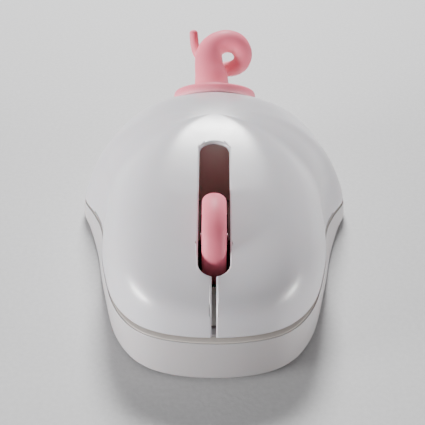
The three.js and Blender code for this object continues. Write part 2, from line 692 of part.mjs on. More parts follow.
CELL_Y.forEach((y, i) => {
  const direction = i === 0 ? 1 : -1;
  put(`battery_${i + 1}`, 'cellWrap', cell(y, direction));
  put(`contact_plate_${i + 1}`, 'steel', contactPlate(y, direction));
  const spring = put(`contact_spring_${i + 1}`, 'steel', coilSpring(2.6, 3, 2.2, 0.3));
  spring.rotation.y = Math.PI / 2;
  spring.position.set(direction > 0 ? -25.1 : 22.8, y, CELL_Z);
});

const receiver = new THREE.Group();
receiver.position.set(0, 36.2, 3.4);
assembly.add(receiver);
put('receiver_head', 'black', box(-9.2, -3.2, -2.8, 2.8, -2.4, 2.4), receiver);
put('receiver_plug', 'steel', box(-3.0, 9.2, -2.6, 2.6, -2.2, 2.2)
  .subtract(box(0, 12, -2.2, 2.2, -0.2, 1.8)), receiver);

for (const [name, side] of SIDES) {
  put(`front_foot_${name}`, 'slip', foot(side * 11, -39));
  put(`rear_foot_${name}`, 'slip', foot(side * 6.5, 44));
}

put('tail', 'pinkRubber', tail());
put('tail_retainer', 'innerWhite', tailRetainer());

export default assembly;
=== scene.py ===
"""Looks of a small wireless computer mouse with a curled rubber tail, built round its CAD frame.

Lengths in the shape code are millimetres, in the CAD frame: +Z up, keys towards -Y, tail
towards +Y. MM turns them into metres.
"""
import json
import math

import bmesh
import bpy
import numpy as np
from mathutils import Matrix, Vector


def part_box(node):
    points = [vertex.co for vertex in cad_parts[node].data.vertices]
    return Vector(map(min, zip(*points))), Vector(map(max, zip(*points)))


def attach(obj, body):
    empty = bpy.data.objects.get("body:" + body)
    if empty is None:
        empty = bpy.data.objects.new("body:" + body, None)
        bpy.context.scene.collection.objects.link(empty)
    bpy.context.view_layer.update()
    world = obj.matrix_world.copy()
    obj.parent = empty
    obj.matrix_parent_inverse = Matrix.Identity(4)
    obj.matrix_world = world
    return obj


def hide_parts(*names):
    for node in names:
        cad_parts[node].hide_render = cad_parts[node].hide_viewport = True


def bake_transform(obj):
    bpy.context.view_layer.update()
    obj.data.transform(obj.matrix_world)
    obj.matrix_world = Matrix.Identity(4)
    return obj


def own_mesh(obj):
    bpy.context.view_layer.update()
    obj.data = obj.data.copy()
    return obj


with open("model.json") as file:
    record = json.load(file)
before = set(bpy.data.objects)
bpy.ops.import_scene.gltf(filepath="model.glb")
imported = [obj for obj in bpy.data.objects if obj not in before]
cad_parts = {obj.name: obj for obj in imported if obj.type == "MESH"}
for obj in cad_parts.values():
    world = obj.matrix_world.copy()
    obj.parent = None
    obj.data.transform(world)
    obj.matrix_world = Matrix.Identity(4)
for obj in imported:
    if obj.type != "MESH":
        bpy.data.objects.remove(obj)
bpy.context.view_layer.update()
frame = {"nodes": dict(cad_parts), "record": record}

MM = 0.001


def box_mm(node):
    """Lowest and highest corner of a CAD node, in millimetres."""
    low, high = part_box(node)
    return np.array(low) / MM, np.array(high) / MM


def linked(name, data):
    """A new object in the scene."""
    thing = bpy.data.objects.new(name, data)
    bpy.context.collection.objects.link(thing)
    return thing


# ---- dimensions
# Half of the plan outline, from the front centre round the +X side to the rear.
OUTLINE = [
    (0, -49.2), (14.2, -46.2), (21.9, -36.5), (26.4, -19.5), (29.2, -6.7),
    (32.9, 7.4), (34.9, 17.8), (26.3, 39.7), (0, 49.2),
]
CROWN = np.array([0, 3.9])
CROWN_Z = 37.0
CEILING_SLOPE = 0.33
CEILING_BEND = 12
WALL = 1.4
BASE_WALL = 2.0
FRONT_LEDGE = 0.77
SIDE_LEDGE = 0.15
SEAM_REAR_Z = 3.2
SEAM_RISE = 8.3
FRONT_GAP = 1.0
SIDE_GAP = 0.36    # 0.45 in the CAD
SEAM_LENGTH = 97
SEAM_REAR_Y = 48.4
FRONT_SECTION = (4.2, 1 / 4.2)   # power and root of the section curve
SIDE_SECTION = (2.15, 0.53)
REAR_SECTION = (2.09, 0.68)
RECESS_DEPTH = 3.4   # of the thumb recess, with its middle and its spread along and up
RECESS_Y = 0.8
RECESS_Z = 11.8
RECESS_LENGTH = 11.8
RECESS_HEIGHT = 7.6
BOTTOM_Z = box_mm("base_shell")[0][2]
FLOOR_Z = 2.4
EDGE_R = 0.8
LIP_HEIGHT = 1.4
LIP_DEPTH = 3.0
LIP_T = 1.0
CLEAR = 0.3
SLOT_HALF = 3.43
SLOT_REAR_Y = -7.4
SLOT_FRONT_Y = -41.7
SLOT_FRONT_END = 2.7
SLOT_REAR_END = 2.0
REAR_END_POWERS = (1.9, 1.35)    # of the slot's rear end, across and along
SLIT_HALF = 0.5
SPLIT_Y = SLOT_REAR_Y - SLOT_REAR_END   # where the keys part from the palm, with no joint
RIM = 0.38         # rounding of the slot, slit and seam edges
WHEEL_HALF = 2.65
HUB_R = 7.4
FIN_TOP_Z = 22.5   # where the wheel well's front narrows to the fin in the slit
TAIL_Y = 34.0
TAIL_TILT = 38.7   # degrees back from upright
FLANGE_R = 11.0
FLANGE_T = 2.3
FLANGE_LIFT = 0.08   # gap under the flange
STEM_R = 2.3
# Centre line of the curl, square to the flange: across, up, behind, and its radius.
CURL = [
    (-0.8, 1.6, 0, 4.6), (-0.9, 5, 0, 4.5), (-1.5, 8.4, 0, 3.95), (-1.6, 11.2, 0, 3.7),
    (-0.75, 13.5, 0, 3.35), (1.3, 15.05, 0.1, 3.15), (3.7, 15.5, 0.2, 3.05), (6.2, 14.7, 0.6, 2.9),
    (7.65, 12.4, 1.4, 2.6), (7.2, 10.1, 2.4, 2.35), (5.5, 9.05, 3.8, 2.2), (3, 8.95, 5.1, 2.05),
    (0.4, 9.5, 5.8, 1.75), (-2.3, 10.8, 5.8, 1.5), (-4.5, 12.9, 4.9, 1.33), (-5.5, 15.3, 4.2, 1.22),
    (-5.9, 18.7, 3.7, 1.15),
]


# ---- shader nodes
def feed(tree, socket, value):
    """Sets a socket to a value, or links it to the output that gives the value."""
    if isinstance(value, bpy.types.NodeSocket):
        tree.links.new(value, socket)
    else:
        socket.default_value = value


def add_node(tree, kind, inputs, **settings):
    """The outputs of a new node; inputs are named by label or number."""
    node = tree.nodes.new(f"ShaderNode{kind}")
    for name, value in settings.items():
        setattr(node, name, value)
    for label, value in inputs.items():
        feed(tree, node.inputs[label], value)
    return node.outputs


def map_range(tree, factor, low, high, low_at=0.3, high_at=0.7, **settings):
    """Maps a factor from low_at..high_at onto low..high."""
    ends = {"From Min": low_at, "From Max": high_at, "To Min": low, "To Max": high}
    return add_node(tree, "MapRange", {"Value": factor, **ends}, **settings)["Result"]


# ---- camera, lights and floor
CAMERA_ELEVATION = math.radians(33.5)
CAMERA_ROLL = math.radians(0.2)
CAMERA_DISTANCE = 0.234
CAMERA_TARGET = Vector((0, -0.0029, 0.0129))
LIGHT_TARGET = Vector((0, 0, 0.02))
FLOOR_REACH = 3.0


def add_camera():
    data = bpy.data.cameras.new("camera")
    camera = linked("camera", data)
    away = Vector((0, -math.cos(CAMERA_ELEVATION), math.sin(CAMERA_ELEVATION)))
    turn = Matrix.Rotation(math.pi / 2 - CAMERA_ELEVATION, 4, "X")
    roll = Matrix.Rotation(CAMERA_ROLL, 4, "Z")
    place = Matrix.Translation(CAMERA_TARGET + away * CAMERA_DISTANCE)
    camera.matrix_world = place @ turn @ roll
    data.sensor_width = 36
    data.lens = 80.05
    data.shift_x = -0.0041
    data.clip_start = 0.01
    bpy.context.scene.camera = camera


def add_area_light(name, place, size, power, colour):
    """A soft box aimed at the middle of the body."""
    data = bpy.data.lights.new(name, "AREA")
    data.shape = "RECTANGLE"
    data.size, data.size_y = size
    data.energy = power
    data.color = colour
    light = linked(name, data)
    light.location = place
    light.rotation_euler = (LIGHT_TARGET - Vector(place)).to_track_quat("-Z", "Y").to_euler()
    light.visible_camera = False


def add_studio():
    add_area_light("left_softbox", (-0.50, -0.21, 0.07), (0.24, 0.08), 5.6, (1, 1, 0.99))
    add_area_light("right_softbox", (0.50, -0.16, 0.07), (0.19, 0.055), 1.9, (1, 0.985, 0.96))
    add_area_light("rear_softbox", (0, 0.37, 0.42), (0.15, 0.15), 5.8, (1, 1, 0.99))
    add_backdrop()


def add_backdrop():
    """Surroundings that darken overhead and lighten behind and on the left."""
    world = bpy.data.worlds.new("world")
    bpy.context.scene.world = world
    world.use_nodes = True
    tree = world.node_tree
    place = add_node(tree, "TexCoord", {})["Generated"]
    height = add_node(tree, "SeparateXYZ", {"Vector": place})["Z"]
    fade = map_range(tree, height, 0.40, 0.19, -0.05, 0.55, interpolation_type="SMOOTHSTEP")
    lean = add_node(tree, "VectorMath", {0: place, 1: (-0.6, 0.8, 0)}, operation="DOT_PRODUCT")
    slope = map_range(tree, lean["Value"], 0.32, 1.2, -1, 1)
    strength = add_node(tree, "Math", {0: fade, 1: slope}, operation="MULTIPLY")["Value"]
    background = tree.nodes["Background"].inputs
    feed(tree, background["Color"], (0.98, 0.98, 1, 1))
    feed(tree, background["Strength"], strength)


def add_floor():
    mesh = bpy.data.meshes.new("floor")
    r = FLOOR_REACH
    mesh.from_pydata([(-r, -r, 0), (r, -r, 0), (r, r, 0), (-r, r, 0)], [], [(0, 1, 2, 3)])
    floor = linked("floor", mesh)
    floor.data.materials.append(floor_material())


# ---- materials
def new_material(name, colour, roughness, **sockets):
    """A principled material, its node tree and the shader's inputs. Sockets are set by their
    label, with _ for a space."""
    material = bpy.data.materials.new(name)
    material.use_nodes = True
    shader = material.node_tree.nodes["Principled BSDF"].inputs
    shader["Base Color"].default_value = (*colour, 1)
    shader["Roughness"].default_value = roughness
    for label, value in sockets.items():
        shader[label.replace("_", " ")].default_value = value
    return material, material.node_tree, shader


def noise(tree, scale, detail=3.0, stretch=(1, 1, 1)):
    """Noise in the object's own coordinates; scale counts features per metre."""
    place = add_node(tree, "TexCoord", {})["Object"]
    place = add_node(tree, "Mapping", {"Scale": stretch, "Vector": place})["Vector"]
    return add_node(tree, "TexNoise", {"Scale": scale, "Detail": detail, "Vector": place})["Fac"]


def tint(tree, factor, colour_a, colour_b):
    """A colour between two, by a factor."""
    inputs = {"A": (*colour_a, 1), "B": (*colour_b, 1), "Factor": factor}
    return add_node(tree, "Mix", inputs, data_type="RGBA")["Result"]


def bump(tree, shader, height, depth, strength=1.0):
    inputs = {"Distance": depth, "Strength": strength, "Height": height}
    feed(tree, shader["Normal"], add_node(tree, "Bump", inputs)["Normal"])


def moulded(name, colour, other, roughness, grain_depth=2e-6, **sockets):
    """Moulded plastic or rubber: slow colour drift, uneven gloss and a fine skin grain."""
    material, tree, shader = new_material(name, colour, roughness, **sockets)
    drift = map_range(tree, noise(tree, 45), 0, 1)
    feed(tree, shader["Base Color"], tint(tree, drift, colour, other))
    gloss = map_range(tree, noise(tree, 260, 4), roughness - 0.04, roughness + 0.05)
    feed(tree, shader["Roughness"], gloss)
    bump(tree, shader, noise(tree, 2600, 2), grain_depth)
    return material


def floor_material():
    material, tree, shader = new_material("pale_floor", (0.55, 0.55, 0.56), 0.6)
    grain = noise(tree, 900, 5)
    drift = map_range(tree, grain, 0, 1)
    feed(tree, shader["Base Color"], tint(tree, drift, (0.53, 0.53, 0.54), (0.58, 0.58, 0.59)))
    bump(tree, shader, grain, 4e-5)
    return material


def pink_rubber_material(name="pink_rubber"):
    return moulded(name, (0.78, 0.165, 0.24), (0.82, 0.195, 0.27), 0.5, 4e-6,
                   Subsurface_Weight=0.15, Subsurface_Scale=0.003,
                   Subsurface_Radius=(1.0, 0.35, 0.3), Specular_IOR_Level=0.22)


def painted_light_tail_material():
    """The same rubber with painted light: a lighter colour where the curl shades itself."""
    material = pink_rubber_material("tail_rubber")
    tree = material.node_tree
    colour = tree.nodes["Principled BSDF"].inputs["Base Color"]
    open_share = add_node(tree, "AmbientOcclusion", {"Distance": 0.012}, samples=8)["AO"]
    inputs = {"A": (1.0, 0.5, 0.56, 1), "B": colour.links[0].from_socket,
              "Factor": map_range(tree, open_share, 0, 1, 0.15, 0.85)}
    feed(tree, colour, add_node(tree, "Mix", inputs, data_type="RGBA")["Result"])
    return material


def metal_material(name, colour, roughness=0.28):
    material, tree, shader = new_material(name, colour, roughness, Metallic=1.0)
    brushed = noise(tree, 900, 4, (1, 12, 1))
    feed(tree, shader["Roughness"], map_range(tree, brushed, roughness - 0.08, roughness + 0.1))
    bump(tree, shader, brushed, 4e-6)
    return material


def clear_material():
    material, tree, shader = new_material("clear_optic", (0.95, 0.97, 1.0), 0.04,
                                          Transmission_Weight=0.9, IOR=1.49)
    bump(tree, shader, noise(tree, 500, 2), 2e-6)
    return material


def board_material():
    """Green solder mask with faint copper runs under it."""
    mask = (0.02, 0.14, 0.06)
    material, tree, shader = new_material("solder_mask", mask, 0.3)
    runs = add_node(tree, "TexBrick", {
        "Scale": 260, "Mortar Size": 0.05, "Color1": (*mask, 1), "Color2": (0.025, 0.17, 0.07, 1),
        "Mortar": (0.05, 0.24, 0.11, 1), "Vector": add_node(tree, "TexCoord", {})["Object"]})
    feed(tree, shader["Base Color"], runs["Color"])
    bump(tree, shader, runs["Fac"], 2e-5, 0.4)
    return material


def make_materials():
    """One material for each slot of the record."""
    skin = {"Subsurface_Weight": 0.12, "Subsurface_Scale": 0.002}
    return {
        "pearl_shell": moulded("pearl_plastic", (0.565, 0.55, 0.585), (0.595, 0.575, 0.61), 0.34,
                               5e-7, Coat_Weight=0.5, Coat_Roughness=0.29, **skin),
        # The base's white is darkened as painted shade, standing in for a dark table under it.
        "white_base": moulded("white_plastic_painted_shade", (0.46, 0.435, 0.445), (0.49, 0.46, 0.47), 0.33,
                              1.5e-6, Coat_Weight=0.12, Coat_Roughness=0.2, **skin),
        "inner_white": moulded("inner_plastic", (0.73, 0.71, 0.63), (0.77, 0.75, 0.67), 0.5,
                               **{**skin, "Subsurface_Weight": 0.1}),
        "pink_rubber": pink_rubber_material(),
        "pink_plastic": moulded("pink_plastic", (0.62, 0.20, 0.26), (0.66, 0.24, 0.30), 0.35),
        "circuit_board": board_material(),
        "black_plastic": moulded("black_plastic", (0.02, 0.02, 0.022), (0.03, 0.03, 0.032), 0.45),
        "red_plastic": moulded("red_plastic", (0.45, 0.02, 0.02), (0.5, 0.04, 0.03), 0.4),
        "steel": metal_material("plated_steel", (0.62, 0.63, 0.65)),
        "clear_lens": clear_material(),
        "slip_plastic": moulded("slip_pad", (0.58, 0.58, 0.60), (0.64, 0.64, 0.65), 0.55, 6e-6),
        "cell_wrap": metal_material("cell_jacket", (0.05, 0.10, 0.24), 0.34),
    }


MATERIALS = make_materials()
STRIP = moulded("cream_strip", (0.62, 0.57, 0.53), (0.65, 0.60, 0.56), 0.45)
FIN = moulded("pale_fin", (0.86, 0.80, 0.75), (0.89, 0.83, 0.78), 0.5)
# Painted shade: the wheel carrier is near black so the gaps beside the wheel look dark.
CARRIER_PAINTED_SHADE = moulded("carrier_painted_shade", (0.05, 0.018, 0.017), (0.07, 0.027, 0.025), 0.7,
                       Specular_IOR_Level=0.1)
# The tail's rubber, with painted light in the hollows where the curl shades itself.
TAIL_RUBBER_PAINTED_LIGHT = painted_light_tail_material()


# ---- meshes
def tool(points, faces):
    """A solid from points in millimetres, its faces pointing out. It becomes a piece, or it
    cuts, joins or trims one and is then gone."""
    mesh = bpy.data.meshes.new("tool")
    mesh.from_pydata((np.asarray(points, float) * MM).tolist(), [], faces)
    clean = bmesh.new()
    clean.from_mesh(mesh)
    bmesh.ops.remove_doubles(clean, verts=clean.verts, dist=1e-7)
    bmesh.ops.recalc_face_normals(clean, faces=clean.faces)
    clean.to_mesh(mesh)
    clean.free()
    return linked("tool", mesh)


def apply_modifiers(piece):
    bpy.context.view_layer.update()
    graph = bpy.context.evaluated_depsgraph_get()
    mesh = bpy.data.meshes.new_from_object(piece.evaluated_get(graph))
    piece.modifiers.clear()
    piece.data = mesh


def combine(piece, tools, operation):
    """Cuts (DIFFERENCE), joins (UNION) or trims (INTERSECT) a piece with each tool."""
    for other in tools:
        modifier = piece.modifiers.new("combine", "BOOLEAN")
        modifier.operation = operation
        modifier.solver = "EXACT"
        modifier.object = other
    apply_modifiers(piece)
    for other in tools:
        bpy.data.objects.remove(other)
    return piece


def shade(piece, sharp_angle=35):
    """Smooth shading, but for edges sharper than the angle."""
    for face in piece.data.polygons:
        face.use_smooth = True
    piece.data.set_sharp_from_angle(angle=math.radians(sharp_angle))


def settle(piece, slot, body, nodes=(), material=None):
    """Gives a finished piece its material and its body, and hides the CAD nodes that it stands for.
    """
    piece.data.materials.clear()
    piece.data.materials.append(material or MATERIALS[slot])
    if nodes:
        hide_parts(*nodes)
    if body:
        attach(piece, body)
    return piece


def complete(name, piece, slot, body="case", nodes=(), material=None, sharp_angle=35):
    """Names a piece, shades it and settles it."""
    piece.name = piece.data.name = name
    shade(piece, sharp_angle)
    return settle(piece, slot, body, nodes, material)


def add_piece(name, shape, *where, **more):
    return complete(name, tool(*shape), *where, **more)


def grid_faces(rows, columns, closed=False):
    """Quads of a rows by columns grid of points; closed joins the last column to the first."""
    faces = []
    for r in range(rows - 1):
        for c in range(columns if closed else columns - 1):
            d = (c + 1) % columns
            faces.append((r * columns + c, r * columns + d,
                          (r + 1) * columns + d, (r + 1) * columns + c))
    return faces


def loft(rings, hoop=False):
    """Points and faces of a closed body through rings of equal count, or of a hoop whose
    section runs through them."""
    rings = [np.asarray(ring, float) for ring in rings]
    count = len(rings[0])
    faces = grid_faces(len(rings), count, closed=True)
    start = (len(rings) - 1) * count
    pairs = [(i, (i + 1) % count) for i in range(count)]
    if hoop:
        faces += [(start + i, start + j, j, i) for i, j in pairs]
        return np.concatenate(rings), faces
    first, last = start + count, start + count + 1
    for i, j in pairs:
        faces += [(j, i, first), (start + i, start + j, last)]
    return np.vstack([*rings, rings[0].mean(axis=0), rings[-1].mean(axis=0)]), faces


def at_height(plan, z):
    """Plan points at one height, or at a height each."""
    return np.column_stack([plan, np.full(len(plan), z)])


def circle(x, y, radius, count):
    turn = np.linspace(0, 2 * np.pi, count, endpoint=False)
    return np.column_stack([x + radius * np.cos(turn), y + radius * np.sin(turn)])


def rounded_rectangle(x0, x1, y0, y1, radius, steps=6):
    turn = np.radians(np.linspace(0, 90, steps + 1))
    corners = [(x1 - radius, y0 + radius, -90), (x1 - radius, y1 - radius, 0),
               (x0 + radius, y1 - radius, 90), (x0 + radius, y0 + radius, 180)]
    return np.vstack([np.column_stack([x + radius * np.cos(turn + np.radians(start)),
                                       y + radius * np.sin(turn + np.radians(start))])
                      for x, y, start in corners])


def rounding(low, high, low_r, high_r, steps=4):
    """Insets and heights of a wall from low to high with rounded ends."""
    turn = np.radians(np.linspace(0, 90, steps + 1))

    def bend(radius, end, sense):
        return [(radius * (1 - math.sin(a)), end + sense * radius * (1 - math.cos(a)))
                for a in turn] if radius else [(0, end)]

    return bend(low_r, low, 1) + bend(high_r, high, -1)[::-1]


def flared(low, high, flare=0.25):
    """Insets and heights of a cutter that chamfers its hole's edge at low."""
    return [(-flare, low - 1), (-flare, low), (0, low + flare), (0, high)]


def plate(x0, x1, y0, y1, radius, wall):
    """A plate with rounded corners; wall lists insets and heights."""
    rings = []
    for inset, z in wall:
        flat = rounded_rectangle(x0 + inset, x1 - inset, y0 + inset, y1 - inset,
                                 max(radius - inset, 0.02))
        rings.append(at_height(flat, z))
    return loft(rings)


def post(x, y, radius, wall, sides=48):
    """A round post; wall lists insets and heights."""
    return loft([at_height(circle(x, y, radius - inset, sides), z) for inset, z in wall])


def turned(profile, y, z, sides, hoop=False):
    """A shape turned about a line along x; the profile lists x and radius."""
    rings = [np.column_stack([np.full(sides, x), circle(y, z, max(radius, 0.01), sides)])
             for x, radius in profile]
    return loft(rings, hoop)


def refine(node, slot, body="case", width=0.15, material=None):
    """A CAD node again with its flat faces whole and its edges rounded."""
    source = frame["nodes"][node]
    clean = bmesh.new()
    clean.from_mesh(source.data)
    bmesh.ops.remove_doubles(clean, verts=clean.verts, dist=1e-6)
    bmesh.ops.dissolve_limit(clean, angle_limit=math.radians(1), verts=clean.verts,
                             edges=clean.edges)
    mesh = bpy.data.meshes.new(f"{node}_piece")
    clean.to_mesh(mesh)
    clean.free()
    piece = linked(f"{node}_piece", mesh)
    bevel = piece.modifiers.new("edges", "BEVEL")
    bevel.width = width * MM
    bevel.segments = 2
    bevel.limit_method = "ANGLE"
    bevel.angle_limit = math.radians(32)
    apply_modifiers(piece)
    return complete(piece.name, piece, slot, body, [node], material, 30)


# ---- the body's surface
def smoothstep(low, high, value):
    t = np.clip((value - low) / (high - low), 0, 1)
    return t * t * (3 - 2 * t)


def seam_z(y):
    return SEAM_REAR_Z + SEAM_RISE * np.clip((SEAM_REAR_Y - y) / SEAM_LENGTH, 0, None) ** 1.3


def catmull_rom(points, per_span, closed=True):
    """A curve through the points, per_span steps from each to the next."""
    points = np.asarray(points, float)
    if closed:
        wide = np.vstack([points[-1:], points, points[:2]])
    else:
        wide = np.vstack([2 * points[:1] - points[1:2], points, 2 * points[-1:] - points[-2:-1]])
    before, start, end, beyond = wide[:-3], wide[1:-2], wide[2:-1], wide[3:]
    spans = []
    for t in np.arange(per_span) / per_span:
        spans.append(0.5 * (2 * start + (end - before) * t
                            + (2 * before - 5 * start + 4 * end - beyond) * t ** 2
                            + (3 * start - before - 3 * end + beyond) * t ** 3))
    curve = np.stack(spans, axis=1).reshape(-1, points.shape[1])
    return curve if closed else np.vstack([curve, points[-1:]])


def travelled(points):
    """Length from the first point to each along a path."""
    return np.append(0, np.cumsum(np.linalg.norm(np.diff(points, axis=0), axis=1)))


def at_lengths(points, wanted, length=None):
    """Points at the wanted lengths; length gives those of the known points."""
    length = travelled(points) if length is None else length
    return np.column_stack([np.interp(wanted, length, column) for column in points.T])


def even(points, count):
    """The same path in count equally spaced points."""
    return at_lengths(points, np.linspace(0, travelled(points)[-1], count))


def spaced(total, count, first, last):
    """Lengths of count points along a path, even but for a short first and last step."""
    first, last = min(first, total / 6), min(last, total / 6)
    return np.concatenate([[0], np.linspace(first, total - last, count - 2), [total]])


def respace(path, count, first, last):
    """The same path in count points, even but for a short first and last step."""
    return at_lengths(path, spaced(travelled(path)[-1], count, first, last))


def make_outline(count):
    """The plan outline, from the front centre counter-clockwise, with its outward normals."""
    left = [(-x, y) for x, y in OUTLINE[1:-1]][::-1]
    curve = catmull_rom(OUTLINE + left, 60)
    curve = even(np.vstack([curve, curve[:1]]), count + 1)[:-1]
    for _ in range(60):
        curve = (np.roll(curve, 1, 0) + 2 * curve + np.roll(curve, -1, 0)) / 4
    along = np.roll(curve, -1, 0) - np.roll(curve, 1, 0)
    normal = np.column_stack([along[:, 1], -along[:, 0]])
    return curve, normal / np.linalg.norm(normal, axis=1)[:, None]


EDGE, EDGE_NORMAL = make_outline(720)


def direction(points):
    """Direction from the crown in degrees, -90 at the front and 90 at the rear."""
    return np.degrees(np.arctan2(points[:, 1] - CROWN[1], np.abs(points[:, 0])))


def from_crown(plan):
    """Offsets of plan points from the crown, their angles and their lengths."""
    away = plan - CROWN
    return away, np.arctan2(away[:, 1], away[:, 0]), np.hypot(away[:, 0], away[:, 1])


def by_direction(points, front, side, rear):
    """Front, side and rear values of a constant, blended by direction from the crown."""
    angle = direction(points)
    ahead = front + (side - front) * smoothstep(-70, -15, angle)
    behind = side + (rear - side) * smoothstep(-15, 35, angle)
    return np.where(angle < -15, ahead, behind)


def across_front(points, front, elsewhere):
    """A value across the front that fades round the front corners to another."""
    return front + (elsewhere - front) * smoothstep(-75, -52, direction(points))


LEDGE = across_front(EDGE, FRONT_LEDGE, SIDE_LEDGE)


def thumb_recess(normal_x, y, z):
    along = np.exp(-(((y - RECESS_Y) / RECESS_LENGTH) ** 2))
    up = np.exp(-(((z - RECESS_Z) / RECESS_HEIGHT) ** 2))
    return RECESS_DEPTH * along * up * smoothstep(0.5, 0.95, np.abs(normal_x))


def ceiling_z(y):
    """Height of the ceiling over the crown line, which slopes down ahead of the crown."""
    ahead = np.hypot(np.clip(CROWN[1] - y, 0, None), CEILING_BEND) - CEILING_BEND
    return CROWN_Z - CEILING_SLOPE * ahead


# Shares from 0 to 1 that crowd towards 1, where the dome falls steeply.
LATE = 1 - (1 - np.sin(np.linspace(0, np.pi / 2, 400))) ** 1.5
ON_EDGE = 2e-5   # plan points this near to the edge, as a share of the reach, are on it


class Dome:
    """The cover's surface, made smaller (or larger) by an inset."""

    def __init__(self, inset=0.0):
        self.inset = inset
        self.edge = EDGE - EDGE_NORMAL * (LEDGE + inset)[:, None]
        self.low = seam_z(self.edge[:, 1])
        self.power, self.root = (by_direction(EDGE, *values) for values in zip(
            FRONT_SECTION, SIDE_SECTION, REAR_SECTION))
        _, self.angle, self.radius = from_crown(self.edge)

    def look_up(self, angle, values):
        return np.interp(angle, self.angle, values, period=2 * np.pi)

    def above(self, plan):
        """Surface points over plan points."""
        plan = np.asarray(plan, float).reshape(-1, 2)
        _, angle, distance = from_crown(plan)
        reach = distance / self.look_up(angle, self.radius)
        reach = np.where(reach > 1 - ON_EDGE, 1, reach)
        low, power, root = (self.look_up(angle, values)
                            for values in (self.low, self.power, self.root))
        top = ceiling_z(plan[:, 1]) - self.inset
        z = low + (top - low) * np.clip(1 - reach ** power, 0, 1) ** root
        normal = np.column_stack([self.look_up(angle, EDGE_NORMAL[:, k]) for k in range(2)])
        push = thumb_recess(normal[:, 0], plan[:, 1], z)
        return np.column_stack([plan - normal * push[:, None], z])

    def solid(self):
        """The room under the dome, as a closed body."""
        edge = self.edge[::4]
        rings = [at_height(edge, -2.0)]
        rings += [self.above(CROWN + (edge - CROWN) * share) for share in LATE[::-10][:-1]]
        return loft(rings)


COVER = Dome()


# ---- cover and keys
def slot_rear(count):
    """Plan points round the slot's flatter rear end, from its left side to its right."""
    turn = np.linspace(np.pi, 0, 200)
    across_power, along_power = REAR_END_POWERS
    across = np.sign(np.cos(turn)) * np.abs(np.cos(turn)) ** (2 / across_power)
    along = np.abs(np.sin(turn)) ** (2 / along_power)
    path = np.column_stack([SLOT_HALF * across, SPLIT_Y + SLOT_REAR_END * along])
    return even(path, count)


def thick_sheet(name, outer, inner, faces, joined):
    """A closed shell from an outer and an inner sheet with the same faces. The outer edge is
    rounded, but not between joined points, where it meets its neighbour."""
    count = len(outer)
    points = np.vstack([outer, inner])
    all_faces = list(faces) + [tuple(count + i for i in reversed(face)) for face in faces]
    uses = {}
    for face in faces:
        for i, a in enumerate(face):
            b = face[(i + 1) % len(face)]
            uses.setdefault(frozenset((a, b)), []).append((a, b))
    boundary = [pairs[0] for pairs in uses.values() if len(pairs) == 1]
    all_faces += [(b, a, count + a, count + b) for a, b in boundary]
    mesh = bpy.data.meshes.new(name)
    mesh.from_pydata((points * MM).tolist(), [], all_faces)
    piece = linked(name, mesh)
    weight = mesh.attributes.new("bevel_weight_edge", "FLOAT", "EDGE")
    sharp = mesh.attributes.new("sharp_edge", "BOOLEAN", "EDGE")
    rims = {frozenset(pair): not joined.issuperset(pair) for pair in boundary}
    for edge in mesh.edges:
        pair = frozenset(edge.vertices)
        if pair in rims:
            weight.data[edge.index].value = float(rims[pair])
            sharp.data[edge.index].value = not rims[pair]
        elif min(pair) >= count and frozenset(i - count for i in pair) in rims:
            sharp.data[edge.index].value = True
    for face in mesh.polygons:
        face.use_smooth = True
    bevel = piece.modifiers.new("rim", "BEVEL")
    bevel.limit_method = "WEIGHT"
    bevel.width = RIM * MM
    bevel.segments = 4
    bevel.use_clamp_overlap = False
    apply_modifiers(piece)
    return piece


SPLIT_POINTS = 56
HUB_RINGS = 14
NEAR = 0.04      # share of the last step taken by narrow faces that carry the slope to the split
LAST_STEP = 0.55
LIP_THIN = 0.7   # how much thinner the cover is at the slot's rear end


def crossing(side):
    """Where the outline crosses the split line on one side."""
    half = COVER.edge[(COVER.edge[:, 0] * side > 5) & (np.abs(COVER.edge[:, 1] + 10) < 30)]
    half = half[np.argsort(half[:, 1])]
    return np.array([np.interp(SPLIT_Y, half[:, 1], half[:, 0]), SPLIT_Y])


def palm_edge(count):
    """The cover's edge in plan behind the split, from its right end to its left."""
    edge, end = COVER.edge, crossing(1)
    return even(np.vstack([end, edge[edge[:, 1] > SPLIT_Y], end * [-1, 1]]), count)


def key_edge(count):
    """The -X key's edge in plan, from the slit to the split."""
    edge = COVER.edge
    kept = edge[(edge[:, 1] < SPLIT_Y) & (edge[:, 0] < -SLIT_HALF)][::-1]
    front_y = np.interp(SLIT_HALF, edge[:40, 0], edge[:40, 1])
    return even(np.vstack([[-SLIT_HALF, front_y], kept, crossing(-1)]), count)


def shrunk(plan, dome):
    """Plan points on the cover's edge, moved to a smaller dome's edge."""
    away, angle, _ = from_crown(plan)
    ratio = dome.look_up(angle, dome.radius) / COVER.look_up(angle, COVER.radius)
    return CROWN + away * ratio[:, None]


def split_line(dome):
    """Plan points along the split from the -X side of the slot out to the dome's edge, even
    along the surface but for a short first and last step."""
    end = shrunk(crossing(-1)[None], dome)[0]
    plan = np.array([-SLOT_HALF, SPLIT_Y]) + np.outer(LATE, [end[0] + SLOT_HALF, 0])
    length = travelled(dome.above(plan))
    return at_lengths(plan, spaced(length[-1], SPLIT_POINTS, LAST_STEP, LAST_STEP), length)


def rays_to_split(dome):
    """Surface lines from the crown to the points of the -X half of the split, from the slot
    out. Each line crosses the rings of all the points before its own."""
    away, angle, distance = from_crown(split_line(dome))
    reach = distance / dome.look_up(angle, dome.radius)
    hub = reach[0] * np.arange(1, HUB_RINGS) / HUB_RINGS
    shares = [np.concatenate([hub, reach[:j]]) / reach[j] for j in range(SPLIT_POINTS)]
    shares = [np.append(inner, [1 - NEAR * (1 - inner[-1]), 1]) for inner in shares]
    return [dome.above(CROWN + np.outer(s, a)) for s, a in zip(shares, away)], shares[-1]


